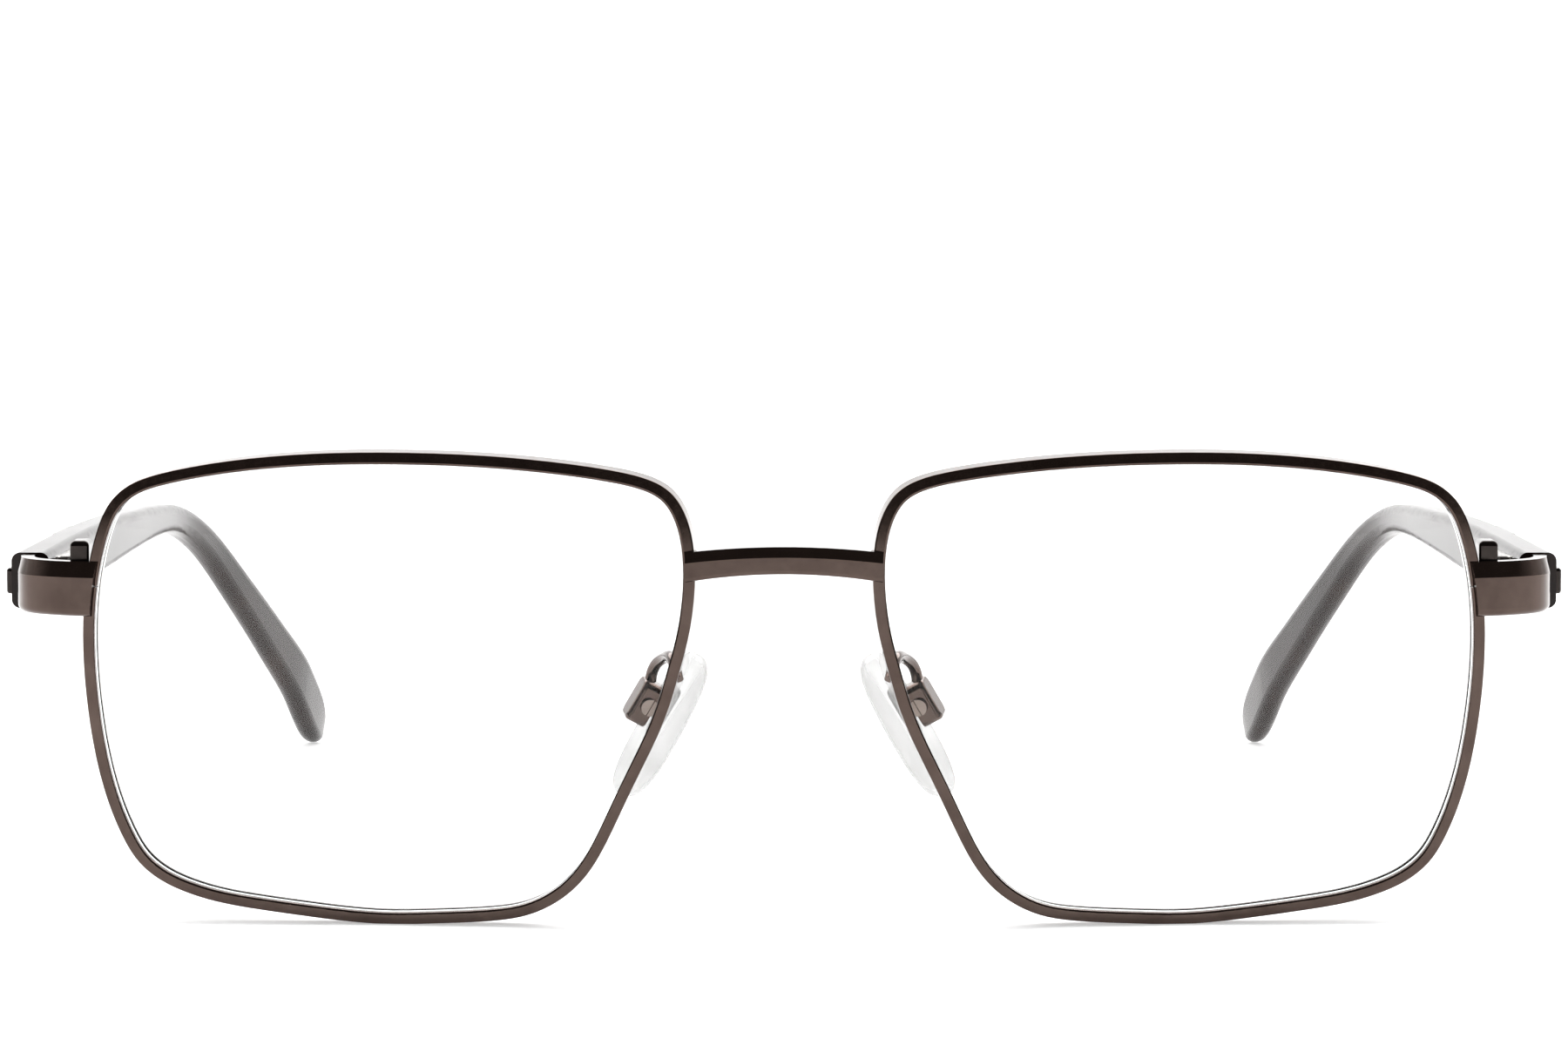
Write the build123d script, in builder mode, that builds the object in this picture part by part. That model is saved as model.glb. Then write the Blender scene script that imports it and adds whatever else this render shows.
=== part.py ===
from build123d import *
import math
import os

os.makedirs("parts", exist_ok=True)

# Rectangular eyeglasses, full-rim metal front with acetate temples, standing open on a table.
# Millimetres. +Z is up, the front faces -Y, the temples run back along +Y.
# Sides are the wearer's, so "right" is -X. The right side is modelled and the left mirrors it.

# ---- driving dimensions -------------------------------------------------------------------
SHIFT_Y = -70.0          # brings the middle of the overall depth to Y = 0
EYE_X, EYE_Y, EYE_Z = -35.98, -4.06, 22.23   # point of the rim's front surface on the eye's axis
WRAP = 5.2               # degrees each eye turns outwards
LEAN = 5.0               # degrees the front's top leans forward
BASE_R = 120.0           # radius of the rim's front surface
RIM_WIDTH = 1.10         # rim band, seen from the front
RIM_DEPTH = 2.20         # rim band, front to back
RIM_EDGE = 0.18          # rounding of the rim's edges
GROOVE_DEPTH = 0.48
GROOVE_FRONT, GROOVE_BACK = 0.75, 1.55       # groove walls, measured back from the rim's front
LENS_FRONT, LENS_BACK = 0.35, 1.95           # lens faces, measured back from the rim's front
LENS_FIT = 0.03
SAW_CUT_Z, SAW_CUT = 31.00, 0.15             # cut in the rim between the two lock blocks

BRIDGE_HALF = 9.10
BAR_TOP, BAR_BOTTOM = 33.30, 28.25           # height of the end piece
BAR_WALL = 1.55
BUTT_Y, BUTT_GAP = 9.55, 0.25                # rear face of the end piece, gap to the temple

LOCK_X = (-65.60, -63.85)
LOCK_Y = (2.70, 5.90)
LOCK_TOP, LOCK_BOTTOM, LOCK_GAP = 35.10, 28.35, 0.10
LOCK_SCREW_X, LOCK_SCREW_Y = -64.76, 4.55
LOCK_SHAFT_R, LOCK_HEAD_R, LOCK_HEAD_H = 0.45, 0.68, 0.45

PIN_X, PIN_Y = -66.90, 10.10                 # hinge axis
PIN_R, PIN_CLEAR = 0.60, 0.03
PIN_HEAD_R, PIN_HEAD_H = 1.00, 0.45
KNUCKLE_R = 1.35
EAR_LOW = (28.95, 30.08)
EAR_HIGH = (31.52, 32.65)
KNUCKLE = (30.14, 31.46)
ROD_Z = 30.80
ROD_R, ROD_END = 0.60, 20.40
NUT_R, NUT_Y = 1.03, (19.20, 20.20)
BORE_R, BORE_Y = 1.12, (13.10, 21.60)
SPRING_WIRE_R, SPRING_R = 0.12, 0.83
SPRING_Y = (13.25, 17.90)
HOUSE_X = (-68.90, -65.50)
HOUSE_Y = (11.90, 25.00)
HOUSE_Z = (28.95, 32.75)

CORE_H, CORE_T = 1.60, 1.10                  # metal core wire section
TRIM_PROUD, TRIM_SUNK = 0.60, 0.35

BOX_AT = (-12.75, 7.60, 19.60)               # middle of the pad screw
BOX_LONG, BOX_WIDE, BOX_WALL = 4.20, 2.90, 0.45
BOX_FLOOR, BOX_RIM = -1.45, 0.55
PAD_SCREW_R = 0.45
BOSS_R = 0.85
PAD_BASE, PAD_THICK = 1.20, 2.40
ARM_R = 0.55

# outline of the rim's front face on the eye's plane: (towards the nose, up)
OUTLINE = [
    (25.91, -0.31), (24.24, -4.86), (22.10, -9.26), (19.85, -13.98), (18.06, -17.20), (16.38, -19.18),
    (14.38, -20.66), (12.11, -21.65), (9.38, -22.14), (3.95, -22.44), (-1.11, -22.56), (-6.10, -22.21),
    (-12.11, -21.55), (-16.87, -20.87), (-20.31, -19.90), (-22.64, -18.75), (-24.10, -17.51), (-25.30, -15.70),
    (-26.66, -12.44), (-27.75, -8.27), (-28.45, -3.55), (-28.80, 1.51), (-28.71, 6.13), (-28.15, 10.36),
    (-27.19, 13.95), (-26.19, 16.01), (-25.13, 17.21), (-23.57, 18.19), (-20.68, 19.16), (-15.77, 20.18),
    (-10.62, 20.86), (-5.24, 21.24), (0.38, 21.34), (6.03, 21.21), (11.54, 20.83), (16.89, 20.18),
    (21.65, 19.29), (24.18, 18.43), (25.45, 17.59), (26.38, 16.45), (27.20, 14.56), (27.70, 11.82),
    (27.70, 8.18), (27.12, 4.17),
]

# temple stations: back, sideways, up, section thickness, section height, corner radius
TEMPLE = [
    (9.80, -70.22, 30.83, 3.50, 5.20, 0.80), (22.0, -69.87, 30.92, 3.47, 5.17, 0.80),
    (34.0, -69.49, 31.01, 3.41, 5.08, 0.82), (46.0, -69.09, 31.05, 3.35, 4.88, 0.85),
    (58.0, -68.72, 31.01, 3.30, 4.50, 0.90), (70.0, -68.33, 30.90, 3.26, 3.98, 0.95),
    (82.0, -67.93, 30.67, 3.22, 3.48, 1.00), (91.0, -67.57, 30.32, 3.20, 3.18, 1.05),
    (97.5, -67.10, 29.83, 3.10, 3.10, 1.10), (102.5, -66.40, 28.95, 2.95, 3.20, 1.12),
    (107.2, -65.30, 27.35, 2.80, 3.42, 1.14), (111.8, -64.00, 24.95, 2.66, 3.75, 1.16),
    (117.0, -62.22, 21.18, 2.58, 4.20, 1.18), (123.0, -60.22, 16.78, 2.55, 4.75, 1.20),
    (129.0, -58.32, 12.38, 2.55, 5.35, 1.20), (135.0, -56.62, 7.98, 2.55, 5.95, 1.20),
]
# the rounded tip, by distance past the last station: thickness, height, corner radius
TIP = [(3.2, 2.56, 6.25, 1.20), (5.9, 2.54, 6.20, 1.18), (8.1, 2.44, 5.75, 1.12),
       (9.7, 2.24, 4.80, 1.02), (10.7, 1.92, 3.60, 0.86), (11.3, 1.35, 1.95, 0.60)]
TIP_DIR = (7.0, 1.25, -5.34)                 # back, sideways, up


# ---- frames of reference --------------------------------------------------------------------
def at(x, y, z):
    return Vector(x, y + SHIFT_Y, z)


cw, sw = math.cos(math.radians(WRAP)), math.sin(math.radians(WRAP))
cl, sl = math.cos(math.radians(LEAN)), math.sin(math.radians(LEAN))
EYE = Plane(origin=at(EYE_X, EYE_Y, EYE_Z), x_dir=Vector(cw, -sw, 0), z_dir=Vector(-sw * cl, -cw * cl, -sl))
BALL = Plane(origin=EYE.origin - EYE.z_dir * BASE_R, x_dir=EYE.z_dir * -1, z_dir=EYE.y_dir)

outline_edge = Edge.make_spline([Vector(u, v, 0) for u, v in OUTLINE], periodic=True)


def loop(grow, count=64):
    """Points of the rim's outline on the eye's plane, moved outwards by grow."""
    pts = []
    for i in range(count):
        p = outline_edge.position_at(i / count)
        t = outline_edge.tangent_at(i / count)
        n = Vector(-t.Y, t.X, 0)
        if n.dot(p) < 0:
            n = n * -1
        pts.append((p.X + n.X * grow, p.Y + n.Y * grow))
    return pts


def edges_at(part, depth):
    """Edges that lie on the sphere this far behind the rim's front surface."""
    return [e for e in part.edges() if abs((e.position_at(0.37) - BALL.origin).length - (BASE_R - depth)) < 0.01]


# ---- lens and rim ---------------------------------------------------------------------------
with BuildPart() as lens_bevel:
    with BuildSketch(EYE.offset(-11)):
        with BuildLine():
            Spline(*loop(GROOVE_DEPTH - RIM_WIDTH - LENS_FIT), periodic=True)
        make_face()
    extrude(amount=13)
    with Locations(BALL):
        Sphere(radius=BASE_R - GROOVE_FRONT - LENS_FIT, mode=Mode.INTERSECT)
        Sphere(radius=BASE_R - GROOVE_BACK + LENS_FIT, mode=Mode.SUBTRACT)
    chamfer(edges_at(lens_bevel, GROOVE_FRONT + LENS_FIT) + edges_at(lens_bevel, GROOVE_BACK - LENS_FIT), length=0.30)

with BuildPart() as groove:
    with BuildSketch(EYE.offset(-11)):
        with BuildLine():
            Spline(*loop(GROOVE_DEPTH - RIM_WIDTH), periodic=True)
        make_face()
    extrude(amount=13)
    with Locations(BALL):
        Sphere(radius=BASE_R - GROOVE_FRONT, mode=Mode.INTERSECT)
        Sphere(radius=BASE_R - GROOVE_BACK, mode=Mode.SUBTRACT)

with BuildPart() as lens_right:
    with BuildSketch(EYE.offset(-11)):
        with BuildLine():
            Spline(*loop(-RIM_WIDTH - 3 * LENS_FIT), periodic=True)
        make_face()
    extrude(amount=13)
    with Locations(BALL):
        Sphere(radius=BASE_R - LENS_FRONT, mode=Mode.INTERSECT)
        Sphere(radius=BASE_R - LENS_BACK, mode=Mode.SUBTRACT)
    add(lens_bevel.part)

with BuildPart() as rim_right:
    with BuildSketch(EYE.offset(-11)):
        with BuildLine():
            Spline(*loop(0), periodic=True)
        make_face()
        with BuildLine():
            Spline(*loop(-RIM_WIDTH), periodic=True)
        make_face(mode=Mode.SUBTRACT)
    extrude(amount=13)
    with Locations(BALL):
        Sphere(radius=BASE_R, mode=Mode.INTERSECT)
        Sphere(radius=BASE_R - RIM_DEPTH, mode=Mode.SUBTRACT)
    add(groove.part, mode=Mode.SUBTRACT)
    fillet(edges_at(rim_right, 0) + edges_at(rim_right, RIM_DEPTH), radius=RIM_EDGE)
    with Locations(at(-64.4, 2.5, SAW_CUT_Z)):
        Box(3.0, 8.0, SAW_CUT, mode=Mode.SUBTRACT)

# everything inside the rim's outer outline, front to back
with BuildPart() as eye_clear:
    with BuildSketch(EYE.offset(-12)):
        with BuildLine():
            Spline(*loop(-RIM_WIDTH + 0.30), periodic=True)
        make_face()
    extrude(amount=16)

with BuildPart() as rim_left:
    mirror(rim_right.part, about=Plane.YZ)
with BuildPart() as eye_clear_left:
    mirror(eye_clear.part, about=Plane.YZ)
with BuildPart() as lens_left:
    mirror(lens_right.part, about=Plane.YZ)

# ---- bridge -----------------------------------------------------------------------------------
with BuildPart() as bridge:
    with BuildSketch(Plane(origin=at(0, 1, 0), x_dir=(1, 0, 0), z_dir=(0, -1, 0))):
        with BuildLine():
            ThreePointArc((-BRIDGE_HALF, 34.57), (0, 35.17), (BRIDGE_HALF, 34.57))
            Line((BRIDGE_HALF, 34.57), (BRIDGE_HALF, 31.84))
            ThreePointArc((BRIDGE_HALF, 31.84), (0, 32.68), (-BRIDGE_HALF, 31.84))
            Line((-BRIDGE_HALF, 31.84), (-BRIDGE_HALF, 34.57))
        make_face()
    extrude(amount=9)
    with BuildSketch(Plane(origin=at(0, 0, 28))):
        with BuildLine():
            ThreePointArc((-BRIDGE_HALF, -4.75), (0, -5.62), (BRIDGE_HALF, -4.75))
            Line((BRIDGE_HALF, -4.75), (BRIDGE_HALF, -2.60))
            ThreePointArc((BRIDGE_HALF, -2.60), (0, -3.40), (-BRIDGE_HALF, -2.60))
            Line((-BRIDGE_HALF, -2.60), (-BRIDGE_HALF, -4.75))
        make_face()
    extrude(amount=12, mode=Mode.INTERSECT)
    long_edges = bridge.edges().filter_by(lambda e: e.length > 12)
    chamfer(long_edges.group_by(Axis.Z)[-1].sort_by(Axis.Y)[0], length=0.95, length2=0.34, reference=bridge.faces().sort_by(Axis.Y)[0])
    fillet(bridge.edges().filter_by(lambda e: e.length > 12).group_by(Axis.Z)[0], radius=0.35)
    add(eye_clear.part, mode=Mode.SUBTRACT)
    add(eye_clear_left.part, mode=Mode.SUBTRACT)
    add(rim_right.part, mode=Mode.SUBTRACT)
    add(rim_left.part, mode=Mode.SUBTRACT)

with BuildPart() as bridge_bar:
    add(bridge.solids().sort_by(SortBy.VOLUME)[-1])

# ---- end piece ----------------------------------------------------------------------------------
BAR_OUT = [(-62.30, 0.12), (-66.00, 1.32), (-68.60, 2.92), (-70.35, 4.95), (-71.02, 7.10), (-71.15, BUTT_Y)]
bar_edge = Edge.make_spline([Vector(x, y, 0) for x, y in BAR_OUT], tangents=[Vector(-1, 0.28, 0), Vector(0, 1, 0)])
bar_in = []
for i in range(13):
    p, t = bar_edge.position_at(i / 12), bar_edge.tangent_at(i / 12)
    bar_in.append((p.X + t.Y * BAR_WALL, p.Y - t.X * BAR_WALL))

with BuildPart() as end_piece_right:
    with BuildSketch(Plane(origin=at(0, 0, BAR_BOTTOM))):
        with BuildLine():
            Spline(*BAR_OUT, tangents=[(-1, 0.28), (0, 1)])
            Line(BAR_OUT[-1], bar_in[-1])
            Spline(*bar_in[::-1])
            Line(bar_in[0], BAR_OUT[0])
        make_face()
    extrude(amount=BAR_TOP - BAR_BOTTOM)
    with BuildSketch(Plane(origin=at(0, -3, 0), x_dir=(1, 0, 0), z_dir=(0, -1, 0))):
        with BuildLine():
            Polyline((-62.54, 34), (-63.22, 28), (-60, 28), (-60, 34), close=True)
        make_face()
    extrude(amount=-14, mode=Mode.SUBTRACT)
    with Locations(Plane(origin=at(-62.86, 0.26, BAR_TOP), x_dir=(0.08, 0, 0.997), z_dir=(0.70, -0.70, -0.0565))):
        Box(14, 3, 3, align=(Align.CENTER, Align.CENTER, Align.MIN), mode=Mode.SUBTRACT)
    outer = sorted(end_piece_right.faces(), key=lambda f: f.area)[-1]
    fillet(outer.edges().group_by(Axis.Z)[0], radius=0.70)
    outer = sorted(end_piece_right.faces(), key=lambda f: f.area)[-1]
    try:
        chamfer(outer.edges().group_by(Axis.Z)[-1], length=1.45, length2=0.34, reference=outer)
    except ValueError:
        fillet(outer.edges().group_by(Axis.Z)[-1], radius=0.30)
        print("end piece bevel left as a fillet")
    add(eye_clear.part, mode=Mode.SUBTRACT)
    add(rim_right.part, mode=Mode.SUBTRACT)

with BuildPart() as end_bar_right:
    add(end_piece_right.solids().sort_by(SortBy.VOLUME)[-1])

# ---- rim locks ------------------------------------------------------------------------------------
lock_x, lock_y = sum(LOCK_X) / 2, sum(LOCK_Y) / 2
with BuildPart() as rim_lock_upper_right:
    with Locations(at(lock_x, lock_y, SAW_CUT_Z + LOCK_GAP / 2)):
        Box(LOCK_X[1] - LOCK_X[0], LOCK_Y[1] - LOCK_Y[0], LOCK_TOP - SAW_CUT_Z - LOCK_GAP / 2,
            align=(Align.CENTER, Align.CENTER, Align.MIN))
    fillet(rim_lock_upper_right.faces().sort_by(Axis.Z)[-1].edges(), radius=0.50)
    fillet(rim_lock_upper_right.edges().filter_by(Axis.Z), radius=0.25)
    with Locations(at(LOCK_SCREW_X, LOCK_SCREW_Y, SAW_CUT_Z)):
        Cylinder(LOCK_SHAFT_R, 3.0, align=(Align.CENTER, Align.CENTER, Align.MIN), mode=Mode.SUBTRACT)
    add(rim_right.part, mode=Mode.SUBTRACT)
    add(end_piece_right.part, mode=Mode.SUBTRACT)

with BuildPart() as rim_lock_lower_right:
    with Locations(at(lock_x, lock_y, SAW_CUT_Z - LOCK_GAP / 2)):
        Box(LOCK_X[1] - LOCK_X[0], LOCK_Y[1] - LOCK_Y[0], SAW_CUT_Z - LOCK_GAP / 2 - LOCK_BOTTOM,
            align=(Align.CENTER, Align.CENTER, Align.MAX))
    fillet(rim_lock_lower_right.edges().filter_by(Axis.Z), radius=0.25)
    with Locations(at(LOCK_SCREW_X, LOCK_SCREW_Y, LOCK_BOTTOM)):
        Cylinder(LOCK_SHAFT_R, 4.0, align=(Align.CENTER, Align.CENTER, Align.MIN), mode=Mode.SUBTRACT)
        Cylinder(LOCK_HEAD_R, 0.45, align=(Align.CENTER, Align.CENTER, Align.MIN), mode=Mode.SUBTRACT)
    add(rim_right.part, mode=Mode.SUBTRACT)
    add(end_piece_right.part, mode=Mode.SUBTRACT)

with BuildPart() as rim_lock_screws:
    with Locations(at(LOCK_SCREW_X, LOCK_SCREW_Y, LOCK_BOTTOM), at(-LOCK_SCREW_X, LOCK_SCREW_Y, LOCK_BOTTOM)):
        Cylinder(LOCK_SHAFT_R, 5.3, align=(Align.CENTER, Align.CENTER, Align.MIN))
        Cylinder(LOCK_HEAD_R, LOCK_HEAD_H, align=(Align.CENTER, Align.CENTER, Align.MIN))
        Box(2.0, 0.26, 0.26, align=(Align.CENTER, Align.CENTER, Align.MIN), mode=Mode.SUBTRACT)

# ---- hinge: leaf on the end piece -------------------------------------------------------------------
LEAF = [(-70.0, 5.40), (-70.0, 9.05), (-68.05, 9.40), (PIN_X, PIN_Y), (-65.95, 9.15), (-68.20, 5.40)]
with BuildPart() as hinge_leaf_right:
    with Locations(at(-69.30, 7.10, (EAR_LOW[0] + EAR_HIGH[1]) / 2)):
        Box(1.40, 3.40, EAR_HIGH[1] - EAR_LOW[0])
    for low, high in (EAR_LOW, EAR_HIGH):
        with BuildSketch(Plane(origin=at(0, 0, low))):
            with BuildLine():
                Polyline(*LEAF, close=True)
            make_face()
            with Locations((PIN_X, PIN_Y)):
                Circle(KNUCKLE_R)
        extrude(amount=high - low)
    with Locations(at(PIN_X, PIN_Y, EAR_LOW[0] - 1)):
        Cylinder(PIN_R + PIN_CLEAR, 6.0, align=(Align.CENTER, Align.CENTER, Align.MIN), mode=Mode.SUBTRACT)
    add(end_piece_right.part, mode=Mode.SUBTRACT)

# ---- hinge: screw, sliding knuckle with its rod, nut, spring and housing --------------------------------
with BuildPart() as hinge_screw_right:
    with Locations(at(PIN_X, PIN_Y, EAR_LOW[0])):
        Cylinder(PIN_R, EAR_HIGH[1] + 0.2 - EAR_LOW[0], align=(Align.CENTER, Align.CENTER, Align.MIN))
    with Locations(at(PIN_X, PIN_Y, EAR_HIGH[1] + 0.04)):
        Cylinder(PIN_HEAD_R, PIN_HEAD_H, align=(Align.CENTER, Align.CENTER, Align.MIN))
    chamfer(hinge_screw_right.faces().sort_by(Axis.Z)[-1].edges(), length=0.10)
    with Locations(at(PIN_X, PIN_Y, EAR_HIGH[1] + 0.04 + PIN_HEAD_H)):
        Box(2.2, 0.26, 0.24, align=(Align.CENTER, Align.CENTER, Align.MAX), mode=Mode.SUBTRACT)

with BuildPart() as hinge_slider_right:
    with Locations(at(PIN_X, PIN_Y, KNUCKLE[0])):
        Cylinder(KNUCKLE_R - 0.05, KNUCKLE[1] - KNUCKLE[0], align=(Align.CENTER, Align.CENTER, Align.MIN))
    with BuildSketch(Plane(origin=at(PIN_X, PIN_Y, ROD_Z), x_dir=(1, 0, 0), z_dir=(0, 1, 0))):
        Circle(ROD_R)
    extrude(amount=ROD_END - PIN_Y)
    with Locations(at(PIN_X, PIN_Y, KNUCKLE[0] - 1)):
        Cylinder(PIN_R + PIN_CLEAR, 4.0, align=(Align.CENTER, Align.CENTER, Align.MIN), mode=Mode.SUBTRACT)

with BuildPart() as slider_nut_right:
    with BuildSketch(Plane(origin=at(PIN_X, NUT_Y[0], ROD_Z), x_dir=(1, 0, 0), z_dir=(0, 1, 0))):
        Circle(NUT_R)
        Circle(ROD_R, mode=Mode.SUBTRACT)
    extrude(amount=NUT_Y[1] - NUT_Y[0])
    with Locations(at(PIN_X, NUT_Y[1], ROD_Z)):
        Box(2.4, 0.36, 0.30, align=(Align.CENTER, Align.MAX, Align.CENTER), mode=Mode.SUBTRACT)

with BuildPart() as hinge_spring_right:
    with BuildLine() as coil:
        Helix(pitch=(SPRING_Y[1] - SPRING_Y[0]) / 11, height=SPRING_Y[1] - SPRING_Y[0], radius=SPRING_R,
              center=at(PIN_X, SPRING_Y[0], ROD_Z), direction=(0, 1, 0))
    with BuildSketch(Plane(origin=coil.line @ 0, z_dir=coil.line % 0)):
        Circle(SPRING_WIRE_R)
    sweep()

HOUSE = [(HOUSE_X[0], HOUSE_Y[0]), (HOUSE_X[1], HOUSE_Y[0]), (HOUSE_X[1], 22.20), (-67.80, HOUSE_Y[1]), (HOUSE_X[0], HOUSE_Y[1])]
with BuildPart() as hinge_housing_right:
    with BuildSketch(Plane(origin=at(0, 0, HOUSE_Z[0]))):
        with BuildLine():
            Polyline(*HOUSE, close=True)
        make_face()
    extrude(amount=HOUSE_Z[1] - HOUSE_Z[0])
    fillet(hinge_housing_right.edges().filter_by(Axis.Y).sort_by(Axis.X)[-2:], radius=0.70)
    with Locations(at(-69.20, 20.20, ROD_Z)):
        Box(1.50, 3.80, CORE_H, align=(Align.CENTER, Align.MIN, Align.CENTER))
    with BuildSketch(Plane(origin=at(PIN_X, BORE_Y[0], ROD_Z), x_dir=(1, 0, 0), z_dir=(0, 1, 0))):
        Circle(BORE_R)
    extrude(amount=BORE_Y[1] - BORE_Y[0], mode=Mode.SUBTRACT)
    with BuildSketch(Plane(origin=at(PIN_X, HOUSE_Y[0], ROD_Z), x_dir=(1, 0, 0), z_dir=(0, 1, 0))):
        Circle(ROD_R + PIN_CLEAR)
    extrude(amount=2.0, mode=Mode.SUBTRACT)


# ---- temple with its core wire ---------------------------------------------------------------------
def section_planes(stations):
    """A plane across the temple at each station, x to the side and y up."""
    planes = []
    for i, s in enumerate(stations):
        a, b = stations[max(i - 1, 0)], stations[min(i + 1, len(stations) - 1)]
        t = Vector(b[1] - a[1], b[0] - a[0], b[2] - a[2]).normalized()
        if i == 0:
            t = Vector(0, 1, 0)
        x = Vector(t.Y, -t.X, 0).normalized()
        planes.append(Plane(origin=at(s[1], s[0], s[2]), x_dir=x, z_dir=t))
    return planes


tip_len = math.sqrt(sum(c * c for c in TIP_DIR))
last = TEMPLE[-1]
tip_stations = [(last[0] + TIP_DIR[0] * d / tip_len, last[1] + TIP_DIR[1] * d / tip_len,
                 last[2] + TIP_DIR[2] * d / tip_len, t, h, r) for d, t, h, r in TIP]
arm_stations = TEMPLE + tip_stations
arm_planes = section_planes(arm_stations)
core_stations = [(24.0, -69.80, 30.80)] + [s[:3] for s in TEMPLE[2:-1]]
core_planes = section_planes(core_stations)

with BuildPart() as core_wire_right:
    for plane in core_planes:
        with BuildSketch(plane):
            RectangleRounded(CORE_T, CORE_H, 0.30)
    loft()

with BuildPart() as temple_right:
    for plane, s in zip(arm_planes, arm_stations):
        with BuildSketch(plane):
            RectangleRounded(s[3], s[4], s[5])
    loft()
    add(core_wire_right.part, mode=Mode.SUBTRACT)
    with BuildSketch(Plane(origin=at(0, 0, HOUSE_Z[0]))):
        with BuildLine():
            Polyline(*HOUSE, close=True)
        make_face()
    extrude(amount=HOUSE_Z[1] - HOUSE_Z[0], mode=Mode.SUBTRACT)
    with Locations(at(-69.20, 20.20, ROD_Z)):
        Box(1.50, 3.80, CORE_H, align=(Align.CENTER, Align.MIN, Align.CENTER), mode=Mode.SUBTRACT)

# ---- trim plate on the temple's outer side ----------------------------------------------------------------
side_t = Vector(1.27, 37.0, 0).normalized()
SIDE = Plane(origin=at(-71.97, 10.0, 0), x_dir=side_t * -1, z_dir=Vector(-side_t.Y, side_t.X, 0))
with BuildPart() as temple_trim_right:
    with BuildSketch(SIDE.offset(-TRIM_SUNK)):
        with BuildLine():
            FilletPolyline((-0.6, 29.50), (-24.0, 29.50), (-36.0, 31.00), (-36.0, 33.15), (-26.0, 33.15),
                           (-21.0, 31.90), (-0.6, 31.90), radius=0.30, close=True)
        make_face()
    extrude(amount=TRIM_SUNK + TRIM_PROUD)
    chamfer(temple_trim_right.faces().sort_by(Axis.X)[0].edges(), length=0.14)

with BuildPart() as temple_pocket:
    with BuildSketch(SIDE.offset(-TRIM_SUNK)):
        with BuildLine():
            FilletPolyline((-0.6, 29.50), (-24.0, 29.50), (-36.0, 31.00), (-36.0, 33.15), (-26.0, 33.15),
                           (-21.0, 31.90), (-0.6, 31.90), radius=0.30, close=True)
        make_face()
    extrude(amount=TRIM_SUNK + 1.0)

with BuildPart() as temple_right_done:
    add(temple_right.part)
    add(temple_pocket.part, mode=Mode.SUBTRACT)

# ---- nose pads -----------------------------------------------------------------------------------------
down = Vector(-0.50, 0.06, -0.86).normalized()
face = Vector(0.839, 0.242, -0.485)
face = (face - down * face.dot(down)).normalized()
PAD = Plane(origin=at(*BOX_AT), x_dir=down, z_dir=face)
ACROSS = Plane(origin=PAD.origin, x_dir=down, z_dir=PAD.y_dir)

with BuildPart() as pad_arm_right:
    with BuildLine() as arm_line:
        Spline(at(-9.70, -1.30, 22.70), at(-10.35, 1.60, 24.40), at(-11.20, 4.80, 24.00),
               at(-12.05, 6.60, 23.00), PAD.from_local_coords(Vector(-BOX_LONG / 2 + 0.10, 0, -0.75)))
    with BuildSketch(Plane(origin=arm_line.line @ 0, z_dir=arm_line.line % 0)):
        Circle(ARM_R)
    sweep()
    add(rim_right.part, mode=Mode.SUBTRACT)

with BuildPart() as pad_box_right:
    with BuildSketch(PAD.offset(BOX_FLOOR)):
        RectangleRounded(BOX_LONG, BOX_WIDE, 0.80)
    extrude(amount=BOX_RIM - BOX_FLOOR)
    fillet(pad_box_right.edges().group_by(lambda e: round((e.center() - PAD.origin).dot(PAD.z_dir), 2))[0], radius=0.42)
    with BuildSketch(PAD.offset(BOX_FLOOR + BOX_WALL)):
        RectangleRounded(BOX_LONG - 2 * BOX_WALL, BOX_WIDE - 2 * BOX_WALL, 0.20)
    extrude(amount=3, mode=Mode.SUBTRACT)
    with Locations(ACROSS):
        Cylinder(PAD_SCREW_R, 4.0, mode=Mode.SUBTRACT)

with BuildPart() as pad_arm_trimmed_right:
    add(pad_arm_right.part)
    with BuildSketch(PAD.offset(BOX_FLOOR + BOX_WALL)):
        Rectangle(BOX_LONG - 2 * BOX_WALL, BOX_WIDE - 2 * BOX_WALL)
    extrude(amount=3, mode=Mode.SUBTRACT)
    add(pad_box_right.part, mode=Mode.SUBTRACT)

with BuildPart() as pad_screw_right:
    with BuildSketch(ACROSS.offset(-BOX_WIDE / 2)):
        Circle(PAD_SCREW_R)
    extrude(amount=BOX_WIDE)
    with BuildSketch(ACROSS.offset(-BOX_WIDE / 2 - 0.40)):
        Circle(0.80)
    extrude(amount=0.40)
    with BuildSketch(ACROSS.offset(-BOX_WIDE / 2 - 0.40)):
        Rectangle(2.0, 0.22)
    extrude(amount=0.18, mode=Mode.SUBTRACT)

with BuildPart() as pad_screws:
    add(pad_screw_right.part)
    mirror(pad_screw_right.part, about=Plane.YZ)

with BuildPart() as pad_insert_right:
    with BuildSketch(ACROSS.offset(-0.80)):
        Circle(BOSS_R)
        Rectangle(2 * BOSS_R, PAD_BASE + 0.50, align=(Align.CENTER, Align.MAX))
    extrude(amount=1.60)
    with BuildSketch(PAD.offset(PAD_BASE + 0.40)):
        RectangleRounded(5.2, 3.0, 0.60)
    extrude(amount=0.40)
    with Locations(ACROSS):
        Cylinder(PAD_SCREW_R + PIN_CLEAR, 4.0, mode=Mode.SUBTRACT)

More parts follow.
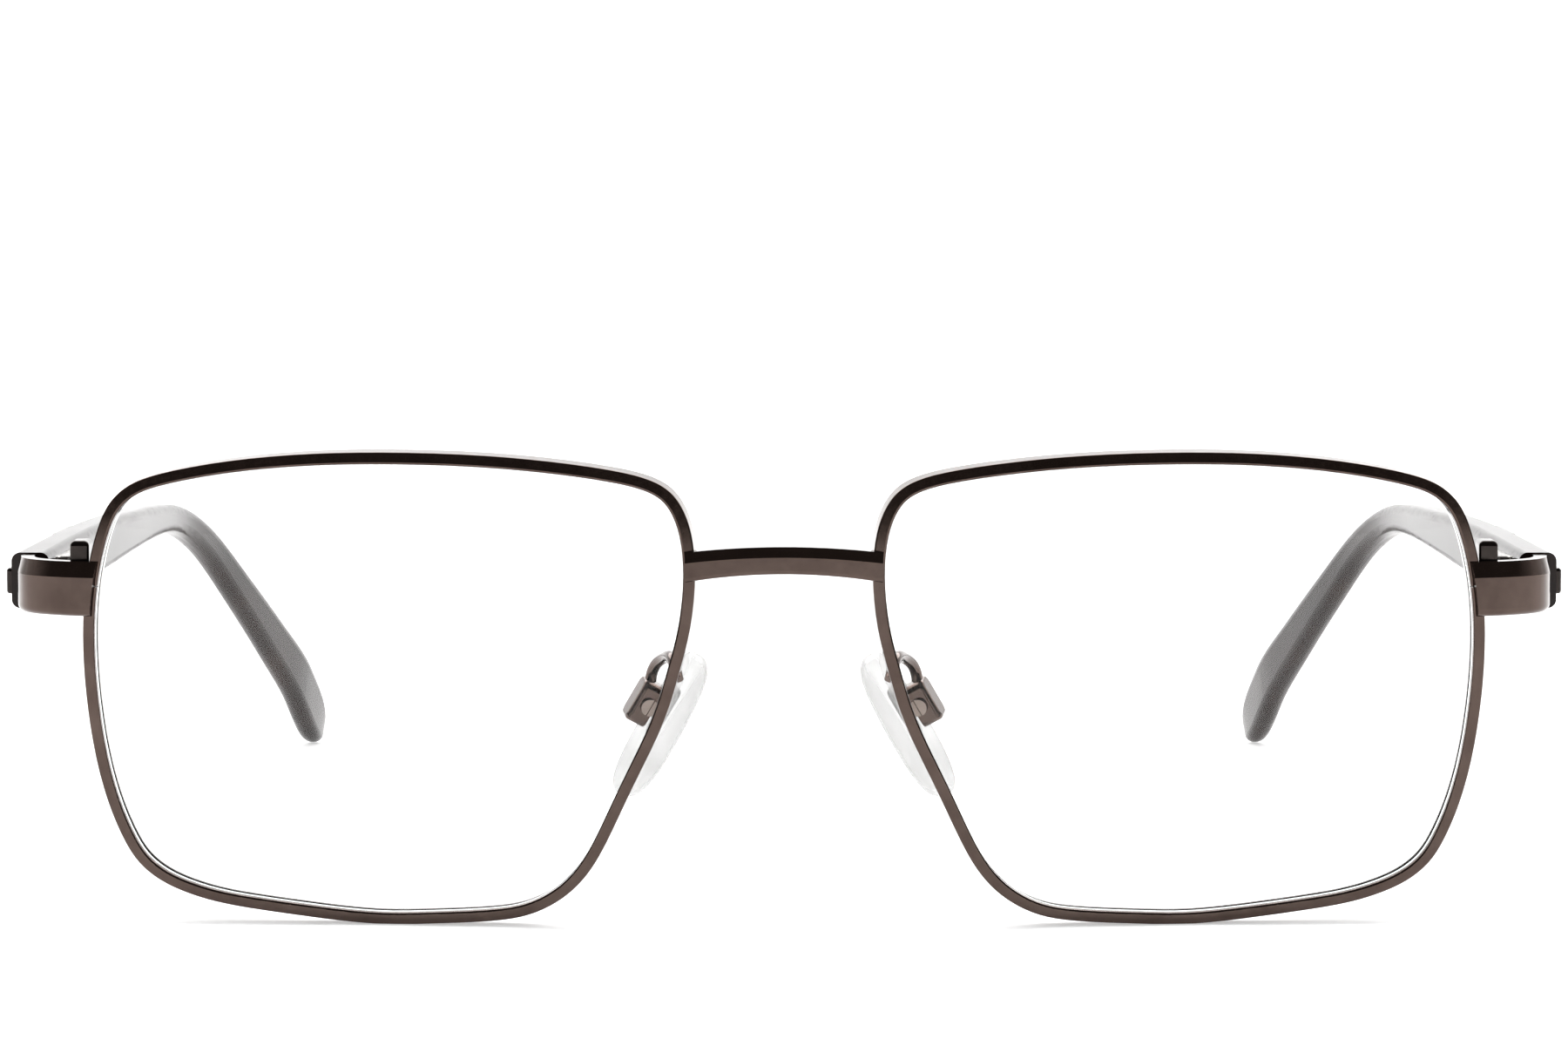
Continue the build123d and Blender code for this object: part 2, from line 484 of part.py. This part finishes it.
with BuildPart() as nose_pad_right:
    with BuildSketch(PAD.offset(PAD_BASE)):
        with BuildLine():
            Spline((-6.2, 0.4), (-4.9, -2.2), (-1.4, -3.7), (2.6, -4.05), (6.4, -3.3), (8.6, -0.9),
                   (8.4, 1.5), (6.2, 3.4), (2.6, 4.0), (-1.6, 3.7), (-4.9, 2.5), periodic=True)
        make_face()
    extrude(amount=PAD_THICK)
    fillet(nose_pad_right.edges().group_by(lambda e: round((e.center() - PAD.origin).dot(PAD.z_dir), 2))[-1], radius=1.25)
    fillet(nose_pad_right.edges().group_by(lambda e: round((e.center() - PAD.origin).dot(PAD.z_dir), 2))[0], radius=0.60)
    add(pad_insert_right.part, mode=Mode.SUBTRACT)

# ---- left side by mirroring, names, files ---------------------------------------------------------------
with BuildPart() as end_piece_left:
    mirror(end_bar_right.part, about=Plane.YZ)
with BuildPart() as rim_lock_upper_left:
    mirror(rim_lock_upper_right.part, about=Plane.YZ)
with BuildPart() as rim_lock_lower_left:
    mirror(rim_lock_lower_right.part, about=Plane.YZ)
with BuildPart() as hinge_leaf_left:
    mirror(hinge_leaf_right.part, about=Plane.YZ)
with BuildPart() as hinge_screw_left:
    mirror(hinge_screw_right.part, about=Plane.YZ)
with BuildPart() as hinge_slider_left:
    mirror(hinge_slider_right.part, about=Plane.YZ)
with BuildPart() as slider_nut_left:
    mirror(slider_nut_right.part, about=Plane.YZ)
with BuildPart() as hinge_spring_left:
    mirror(hinge_spring_right.part, about=Plane.YZ)
with BuildPart() as hinge_housing_left:
    mirror(hinge_housing_right.part, about=Plane.YZ)
with BuildPart() as core_wire_left:
    mirror(core_wire_right.part, about=Plane.YZ)
with BuildPart() as temple_left:
    mirror(temple_right_done.part, about=Plane.YZ)
with BuildPart() as temple_trim_left:
    mirror(temple_trim_right.part, about=Plane.YZ)
with BuildPart() as pad_arm_left:
    mirror(pad_arm_trimmed_right.part, about=Plane.YZ)
with BuildPart() as pad_box_left:
    mirror(pad_box_right.part, about=Plane.YZ)
with BuildPart() as pad_insert_left:
    mirror(pad_insert_right.part, about=Plane.YZ)
with BuildPart() as nose_pad_left:
    mirror(nose_pad_right.part, about=Plane.YZ)

nodes = {
    "rim_right": rim_right, "rim_left": rim_left, "lens_right": lens_right, "lens_left": lens_left,
    "bridge": bridge_bar, "end_piece_right": end_bar_right, "end_piece_left": end_piece_left,
    "rim_lock_upper_right": rim_lock_upper_right, "rim_lock_upper_left": rim_lock_upper_left,
    "rim_lock_lower_right": rim_lock_lower_right, "rim_lock_lower_left": rim_lock_lower_left,
    "rim_lock_screws": rim_lock_screws,
    "hinge_leaf_right": hinge_leaf_right, "hinge_leaf_left": hinge_leaf_left,
    "hinge_screw_right": hinge_screw_right, "hinge_screw_left": hinge_screw_left,
    "hinge_slider_right": hinge_slider_right, "hinge_slider_left": hinge_slider_left,
    "slider_nut_right": slider_nut_right, "slider_nut_left": slider_nut_left,
    "hinge_spring_right": hinge_spring_right, "hinge_spring_left": hinge_spring_left,
    "hinge_housing_right": hinge_housing_right, "hinge_housing_left": hinge_housing_left,
    "core_wire_right": core_wire_right, "core_wire_left": core_wire_left,
    "temple_right": temple_right_done, "temple_left": temple_left,
    "temple_trim_right": temple_trim_right, "temple_trim_left": temple_trim_left,
    "pad_arm_right": pad_arm_trimmed_right, "pad_arm_left": pad_arm_left,
    "pad_box_right": pad_box_right, "pad_box_left": pad_box_left, "pad_screws": pad_screws,
    "pad_insert_right": pad_insert_right, "pad_insert_left": pad_insert_left,
    "nose_pad_right": nose_pad_right, "nose_pad_left": nose_pad_left,
}
for name, piece in nodes.items():
    piece.part.label = name
    export_step(piece.part, f"parts/{name}.step")
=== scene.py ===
import math

import bpy
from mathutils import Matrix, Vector

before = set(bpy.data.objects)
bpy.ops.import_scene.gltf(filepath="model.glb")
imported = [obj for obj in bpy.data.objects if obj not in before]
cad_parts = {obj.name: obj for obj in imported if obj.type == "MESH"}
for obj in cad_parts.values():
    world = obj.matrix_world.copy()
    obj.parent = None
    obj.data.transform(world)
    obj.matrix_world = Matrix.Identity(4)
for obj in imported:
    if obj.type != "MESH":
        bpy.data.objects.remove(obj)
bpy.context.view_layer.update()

SIDES = ("right", "left")


# ---- materials --------------------------------------------------------------------------------
def material(name):
    m = bpy.data.materials.new(name)
    m.use_nodes = True
    nt = m.node_tree
    return m, nt, nt.nodes["Principled BSDF"]


def coords(nt, scale):
    """Object coordinates in millimetres, stretched by scale."""
    tc = nt.nodes.new("ShaderNodeTexCoord")
    mp = nt.nodes.new("ShaderNodeMapping")
    mp.inputs["Scale"].default_value = [1000 * s for s in scale]
    nt.links.new(tc.outputs["Object"], mp.inputs["Vector"])
    return mp.outputs["Vector"]


def noise(nt, vec, scale, detail=3.0, rough=0.5):
    n = nt.nodes.new("ShaderNodeTexNoise")
    n.inputs["Scale"].default_value = scale
    n.inputs["Detail"].default_value = detail
    n.inputs["Roughness"].default_value = rough
    nt.links.new(vec, n.inputs["Vector"])
    return n.outputs["Fac"]


def ramp(nt, fac, stops):
    r = nt.nodes.new("ShaderNodeValToRGB")
    e = r.color_ramp.elements
    while len(e) < len(stops):
        e.new(0.5)
    for el, (p, c) in zip(e, stops):
        el.position = p
        el.color = (*c, 1)
    nt.links.new(fac, r.inputs["Fac"])
    return r.outputs["Color"]


def span(nt, fac, lo, hi):
    r = nt.nodes.new("ShaderNodeMapRange")
    r.inputs["From Min"].default_value = 0.3
    r.inputs["From Max"].default_value = 0.7
    r.inputs["To Min"].default_value = lo
    r.inputs["To Max"].default_value = hi
    nt.links.new(fac, r.inputs["Value"])
    return r.outputs["Result"]


def bump(nt, b, fac, strength, mm):
    n = nt.nodes.new("ShaderNodeBump")
    n.inputs["Strength"].default_value = strength
    n.inputs["Distance"].default_value = mm / 1000
    nt.links.new(fac, n.inputs["Height"])
    nt.links.new(n.outputs["Normal"], b.inputs["Normal"])


def metal(name, dark, light, r_lo, r_hi, coat=0.0, grain=0.15, stretch=(1, 1, 1)):
    """Plated metal: faint colour drift, fine wear in the gloss, and a trace of polishing texture."""
    m, nt, b = material(name)
    v = coords(nt, (0.25, 0.25, 0.25))
    nt.links.new(ramp(nt, noise(nt, v, 1.0, 3), [(0.30, dark), (0.72, light)]), b.inputs["Base Color"])
    g = coords(nt, stretch)
    nt.links.new(span(nt, noise(nt, g, 1.6, 5, 0.6), r_lo, r_hi), b.inputs["Roughness"])
    bump(nt, b, noise(nt, g, 5.0, 4, 0.6), grain, 0.01)
    b.inputs["Metallic"].default_value = 1.0
    b.inputs["Coat Weight"].default_value = coat
    b.inputs["Coat Roughness"].default_value = 0.06
    return m


gunmetal = metal("gunmetal_brown", (0.080, 0.056, 0.047), (0.112, 0.081, 0.069), 0.10, 0.17, coat=0.12, grain=0.04)
gunmetal_dark = metal("gunmetal_dark", (0.034, 0.028, 0.026), (0.052, 0.043, 0.039), 0.14, 0.24, coat=0.10, grain=0.04)
steel = metal("screw_steel", (0.42, 0.40, 0.38), (0.56, 0.54, 0.52), 0.16, 0.28, grain=0.06, stretch=(1, 1, 3))
screw_dark = metal("screw_plated", (0.20, 0.16, 0.14), (0.30, 0.25, 0.22), 0.14, 0.26, grain=0.05)
spring_steel = metal("spring_steel", (0.34, 0.33, 0.32), (0.48, 0.47, 0.45), 0.22, 0.36, grain=0.2)


def acetate():
    """Dark brown polished acetate with soft, long clouds of lighter brown under the gloss."""
    m, nt, b = material("acetate_dark_brown")
    v = coords(nt, (0.16, 0.045, 0.16))
    nt.links.new(ramp(nt, noise(nt, v, 1.3, 4, 0.55), [(0.30, (0.014, 0.0085, 0.0075)), (0.55, (0.022, 0.013, 0.011)), (0.78, (0.034, 0.020, 0.015))]), b.inputs["Base Color"])
    g = coords(nt, (1, 0.3, 1))
    nt.links.new(span(nt, noise(nt, g, 0.12, 2, 0.4), 0.15, 0.19), b.inputs["Roughness"])
    b.inputs["IOR"].default_value = 1.34
    return m


def lens_glass():
    """Coated lens: clear, with a weak clean reflection that strengthens towards grazing angles."""
    m, nt, b = material("lens_clear")
    v = coords(nt, (0.06, 0.06, 0.06))
    nt.links.new(ramp(nt, noise(nt, v, 1.0, 2), [(0.3, (0.86, 0.92, 0.90)), (0.7, (0.90, 0.93, 0.95))]), b.inputs["Base Color"])
    b.inputs["Metallic"].default_value = 1.0
    b.inputs["Roughness"].default_value = 0.02
    f = nt.nodes.new("ShaderNodeFresnel")
    f.inputs["IOR"].default_value = 1.22
    nt.links.new(f.outputs["Fac"], b.inputs["Alpha"])
    return m


def silicone():
    """Clear silicone: nearly invisible face on, milky towards its rounded edges, soft gloss."""
    m, nt, b = material("silicone_clear")
    v = coords(nt, (0.5, 0.5, 0.5))
    nt.links.new(ramp(nt, noise(nt, v, 0.8, 3), [(0.3, (0.46, 0.46, 0.45)), (0.7, (0.56, 0.56, 0.55))]), b.inputs["Base Color"])
    nt.links.new(span(nt, noise(nt, v, 3.0, 3), 0.10, 0.18), b.inputs["Roughness"])
    bump(nt, b, noise(nt, v, 1.2, 3), 0.08, 0.05)
    w = nt.nodes.new("ShaderNodeLayerWeight")
    w.inputs["Blend"].default_value = 0.35
    r = nt.nodes.new("ShaderNodeMapRange")
    r.inputs["From Min"].default_value = 0.0
    r.inputs["From Max"].default_value = 1.0
    r.inputs["To Min"].default_value = 0.22
    r.inputs["To Max"].default_value = 0.82
    nt.links.new(w.outputs["Facing"], r.inputs["Value"])
    nt.links.new(r.outputs["Result"], b.inputs["Alpha"])
    return m


brown = acetate()
glass = lens_glass()
soft = silicone()


def dress(node, mat):
    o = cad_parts[node]
    if not o.material_slots:
        o.data.materials.append(mat)
    for s in o.material_slots:
        s.link = "OBJECT"
        s.material = mat


for s in SIDES:
    for n, mat in (("rim", gunmetal), ("end_piece", gunmetal), ("rim_lock_upper", gunmetal_dark), ("rim_lock_lower", gunmetal_dark),
                   ("pad_arm", gunmetal), ("pad_box", gunmetal), ("hinge_leaf", steel), ("hinge_screw", steel),
                   ("hinge_slider", steel), ("slider_nut", steel), ("hinge_spring", spring_steel), ("hinge_housing", steel),
                   ("core_wire", steel), ("pad_insert", steel), ("temple", brown), ("temple_trim", gunmetal_dark),
                   ("lens", glass), ("nose_pad", soft)):
        dress(f"{n}_{s}", mat)
dress("bridge", gunmetal)
dress("rim_lock_screws", steel)
dress("pad_screws", screw_dark)


# ---- stage, light, camera -------------------------------------------------------------------------
def floor():
    """A white sweep: flat under the object, curving up far behind it."""
    prof = [(-1.2, 0.0), (0.9, 0.0)]
    for i in range(1, 13):
        a = math.pi / 2 * i / 12
        prof.append((0.9 + 0.6 * math.sin(a), 0.6 - 0.6 * math.cos(a)))
    prof.append((1.5, 2.2))
    me = bpy.data.meshes.new("sweep")
    v, f = [], []
    for y, z in prof:
        v += [(-2.5, y, z), (2.5, y, z)]
    for i in range(len(prof) - 1):
        f.append((2 * i, 2 * i + 1, 2 * i + 3, 2 * i + 2))
    me.from_pydata(v, [], f)
    for p in me.polygons:
        p.use_smooth = True
    o = bpy.data.objects.new("sweep", me)
    bpy.context.scene.collection.objects.link(o)
    m, nt, b = material("paper_white")
    c = coords(nt, (0.002, 0.002, 0.002))
    nt.links.new(ramp(nt, noise(nt, c, 1.0, 2), [(0.3, (0.87, 0.87, 0.87)), (0.7, (0.89, 0.89, 0.89))]), b.inputs["Base Color"])
    b.inputs["Roughness"].default_value = 0.75
    b.inputs["Emission Color"].default_value = (1, 1, 1, 1)
    b.inputs["Emission Strength"].default_value = 0.45
    me.materials.append(m)


def area(name, loc, look, size, power, color=(1, 1, 1)):
    li = bpy.data.lights.new(name, "AREA")
    li.shape = "RECTANGLE"
    li.size, li.size_y = size
    li.energy = power
    li.color = color
    o = bpy.data.objects.new(name, li)
    bpy.context.scene.collection.objects.link(o)
    o.location = loc
    o.rotation_mode = "QUATERNION"
    o.rotation_quaternion = (Vector(look) - Vector(loc)).to_track_quat("-Z", "Y")


floor()
area("back_soft", (0, 1.05, 1.15), (0, 0, 0.02), (2.2, 1.0), 26.0)
area("left_soft", (-1.1, 0.25, 0.75), (0, 0, 0.02), (0.7, 0.9), 5.0)
area("right_soft", (1.1, 0.25, 0.75), (0, 0, 0.02), (0.7, 0.9), 5.0)

# the room: bright behind, dim in front above eye level, so that upward-facing bevels go dark
world = bpy.data.worlds.new("room")
world.use_nodes = True
wt = world.node_tree
tc = wt.nodes.new("ShaderNodeTexCoord")
sep = wt.nodes.new("ShaderNodeSeparateXYZ")
wt.links.new(tc.outputs["Generated"], sep.inputs["Vector"])
depth = wt.nodes.new("ShaderNodeMapRange")
depth.inputs["From Min"].default_value = -0.25
depth.inputs["From Max"].default_value = 0.45
depth.inputs["To Min"].default_value = 0.0
depth.inputs["To Max"].default_value = 1.0
wt.links.new(sep.outputs["Y"], depth.inputs["Value"])
tone = wt.nodes.new("ShaderNodeValToRGB")
tone.color_ramp.elements[0].color = (0.095, 0.088, 0.084, 1)
tone.color_ramp.elements[1].color = (0.90, 0.90, 0.90, 1)
wt.links.new(depth.outputs["Result"], tone.inputs["Fac"])
wt.links.new(tone.outputs["Color"], wt.nodes["Background"].inputs["Color"])
wt.nodes["Background"].inputs["Strength"].default_value = 1.0
bpy.context.scene.world = world
bpy.context.scene.view_settings.view_transform = "Standard"

cam = bpy.data.cameras.new("camera")
cam.sensor_width = 36.0
cam.lens = 126.09
cam_obj = bpy.data.objects.new("camera", cam)
bpy.context.scene.collection.objects.link(cam_obj)
cam_obj.location = (0.0, -0.570, 0.07564)
cam_obj.rotation_euler = (math.radians(90 - 4.42), 0, 0)
cam.clip_start, cam.clip_end = 0.01, 20
bpy.context.scene.camera = cam_obj
